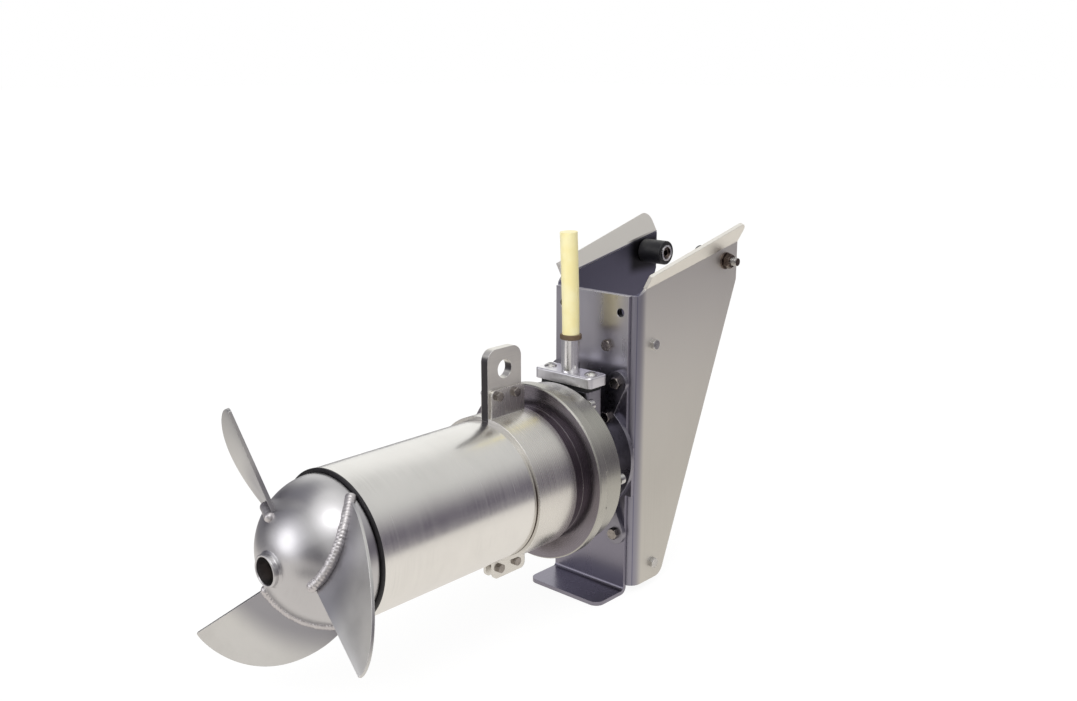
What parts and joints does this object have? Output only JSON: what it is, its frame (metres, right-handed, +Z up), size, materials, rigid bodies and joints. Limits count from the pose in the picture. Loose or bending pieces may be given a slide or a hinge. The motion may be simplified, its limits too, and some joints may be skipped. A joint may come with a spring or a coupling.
{
  "type": "submersible mixer",
  "caption": "Compact stainless submersible mixer: bladed propeller on a sealed motor barrel with lifting clamp, cable entry and a sheet-metal bracket that runs on a square guide mast.",
  "frame": {"origin": "on the motor axis, where it crosses the axis of the square guide mast", "axes": "+Z up along the guide mast, -Y along the motor axis towards the propeller, +X to the side"},
  "size_m": [0.2741, 0.7054, 0.457],
  "materials": {
    "hub_steel": "satin turned stainless steel",
    "blade_steel": "bead-blasted stainless plate",
    "barrel_steel": "circumferentially brushed stainless tube",
    "flange_steel": "turned stainless steel",
    "sheet_steel": "bent stainless sheet, satin",
    "plate_steel": "bent stainless plate, smooth",
    "fastener_steel": "stainless fasteners",
    "clamp_steel": "stainless band and plate",
    "tube_chrome": "polished tube",
    "shaft_steel": "ground steel",
    "core_iron": "laminated electrical steel",
    "winding_copper": "varnished copper wire",
    "seal_rubber": "black elastomer",
    "ring_plastic": "black polymer ring",
    "roller_plastic": "black polymer roller",
    "cable_yellow": "pale yellow cable sheath",
    "seal_carbide": "lapped silicon carbide",
    "bearing_steel": "ground bearing steel",
    "terminal_plastic": "moulded terminal block"
  },
  "bodies": {
    "mixer_body": {"seal_fixed_face": "seal_carbide", "front_cover": "flange_steel", "front_ring": "ring_plastic", "bearing_carrier": "core_iron", "shaft_lip_seal": "seal_rubber", "front_bearing_outer_race": "bearing_steel", "front_bearing_balls": "bearing_steel", "rear_bearing_outer_race": "bearing_steel", "rear_bearing_balls": "bearing_steel", "motor_barrel": "barrel_steel", "stator_core": "core_iron", "stator_windings": "winding_copper", "rear_flange": "flange_steel", "cover_o_ring": "seal_rubber", "rear_cover": "flange_steel", "cover_screws": "fastener_steel", "connection_housing": "flange_steel", "housing_screws": "fastener_steel", "terminal_block": "terminal_plastic", "inner_wiring": "winding_copper", "mounting_flange": "flange_steel", "mounting_bolts": "fastener_steel", "mounting_nuts": "fastener_steel", "entry_gasket": "seal_rubber", "cable_entry_plate": "plate_steel", "entry_plate_screws": "fastener_steel", "gland_tube": "tube_chrome", "gland_collar": "fastener_steel", "gland_seal": "seal_rubber", "power_cable": "cable_yellow", "clamp_band_right": "clamp_steel", "clamp_band_left": "clamp_steel", "lifting_lug": "clamp_steel", "clamp_bolts": "fastener_steel", "clamp_nuts": "fastener_steel", "mounting_plate": "plate_steel", "guide_channel": "sheet_steel", "roller_bushes": "fastener_steel", "roller_bolts": "fastener_steel", "roller_washers": "fastener_steel", "roller_nuts": "fastener_steel", "tie_spacer": "fastener_steel", "side_bolts": "fastener_steel", "side_nuts": "fastener_steel"},
    "propeller": {"propeller_hub": "hub_steel", "blade_1": "blade_steel", "blade_2": "blade_steel", "blade_3": "blade_steel", "hub_washer": "fastener_steel", "hub_screw": "fastener_steel", "motor_shaft": "shaft_steel", "shaft_key": "shaft_steel", "seal_bellows": "seal_rubber", "seal_rotating_face": "seal_carbide", "front_bearing_inner_race": "bearing_steel", "rear_bearing_inner_race": "bearing_steel", "rotor_core": "core_iron"},
    "top_roller_left": {"top_roller_left": "roller_plastic"},
    "top_roller_right": {"top_roller_right": "roller_plastic"},
    "lower_roller": {"lower_roller": "roller_plastic"}
  },
  "joints": [
    {"name": "propeller_spin", "type": "hinge", "parent": "mixer_body", "child": "propeller", "pos_m": [0, -0.5215, 0], "axis": [0, 1, 0], "continuous": true},
    {"name": "top_roller_left_spin", "type": "hinge", "parent": "mixer_body", "child": "top_roller_left", "pos_m": [-0.044, 0.0665, 0.2245], "axis": [1, 0, 0], "continuous": true},
    {"name": "top_roller_right_spin", "type": "hinge", "parent": "mixer_body", "child": "top_roller_right", "pos_m": [0.044, 0.0665, 0.2245], "axis": [1, 0, 0], "continuous": true},
    {"name": "lower_roller_spin", "type": "hinge", "parent": "mixer_body", "child": "lower_roller", "pos_m": [0, -0.0755, -0.146], "axis": [1, 0, 0], "continuous": true}
  ]
}
